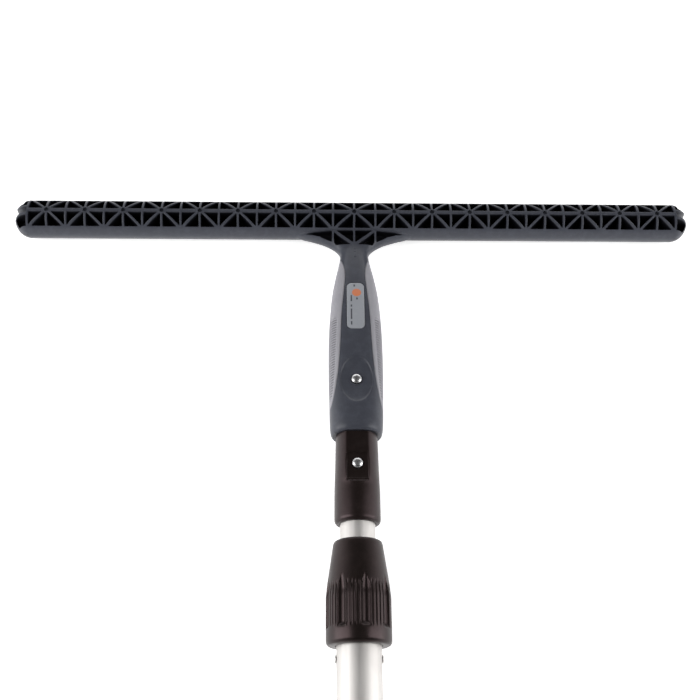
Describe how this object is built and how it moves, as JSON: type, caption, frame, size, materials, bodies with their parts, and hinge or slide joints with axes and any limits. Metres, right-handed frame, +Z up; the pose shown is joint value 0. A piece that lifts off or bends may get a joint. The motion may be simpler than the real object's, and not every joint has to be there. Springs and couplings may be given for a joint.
{
  "type": "window washing t-bar on telescopic pole",
  "caption": "Washer T-bar with star lattice and soft-grip handle, on a snap-in pole adapter and a twist-lock telescopic pole.",
  "frame": {"origin": "on the floor under the middle of the whole object's box, lying with the open lattice face up", "axes": "+Z up, +Y along the pole towards the bar, X along the bar"},
  "size_m": [0.4556, 0.86, 0.037],
  "materials": {
    "dark_grey_plastic": "fine moulded satin",
    "light_grey_rubber": "matte soft grip with fine cross serrations",
    "light_grey_plastic": "satin",
    "black_plastic": "satin",
    "black_rubber": "matte",
    "button_steel": "polished",
    "spring_steel": "bright rolled strip",
    "tube_aluminium": "satin anodised",
    "rivet_aluminium": "plain",
    "natural_nylon": "plain moulded"
  },
  "bodies": {
    "pole": {"outer_tube": "tube_aluminium", "collet": "natural_nylon", "collet_rivet_left": "rivet_aluminium", "collet_rivet_right": "rivet_aluminium", "hand_grip": "black_rubber", "grip_ring": "light_grey_plastic", "end_cap": "black_plastic"},
    "head": {"tbar_body": "dark_grey_plastic", "grip_left": "light_grey_rubber", "grip_right": "light_grey_rubber", "label_plate": "light_grey_plastic", "snap_spring_upper": "spring_steel", "pole_adapter": "black_plastic", "snap_spring_lower": "spring_steel", "inner_tube": "tube_aluminium", "guide_bush": "black_plastic"},
    "upper_button": {"snap_button_upper": "button_steel"},
    "lower_button": {"snap_button_lower": "button_steel"},
    "nut_carrier": {"thrust_ring": "natural_nylon"},
    "twist_nut": {"lock_nut": "black_plastic", "wiper_seal": "black_rubber"}
  },
  "joints": [
    {"name": "telescope", "type": "slide", "parent": "pole", "child": "head", "axis": [0, 1, 0], "range_m": [-0.008, 0.38]},
    {"name": "nut_travel", "type": "slide", "parent": "pole", "child": "nut_carrier", "axis": [0, 1, 0], "range_m": [0, 0.001]},
    {"name": "nut_twist", "type": "hinge", "parent": "nut_carrier", "child": "twist_nut", "pos_m": [0, 0.1673, 0.0185], "axis": [0, 1, 0], "range_deg": [0, 122]},
    {"name": "upper_button_press", "type": "slide", "parent": "head", "child": "upper_button", "axis": [0, 0, -1], "range_m": [0, 0.004], "stiffness_N_per_m": 1500, "springref_m": -0.002, "deforming": ["snap_spring_upper"]},
    {"name": "lower_button_press", "type": "slide", "parent": "head", "child": "lower_button", "axis": [0, 0, -1], "range_m": [0, 0.004], "stiffness_N_per_m": 1500, "springref_m": -0.002, "deforming": ["snap_spring_lower"]}
  ],
  "couplings": [
    {"joint": "nut_twist", "follows": "nut_travel", "rad_per_m": 2094.4}
  ]
}
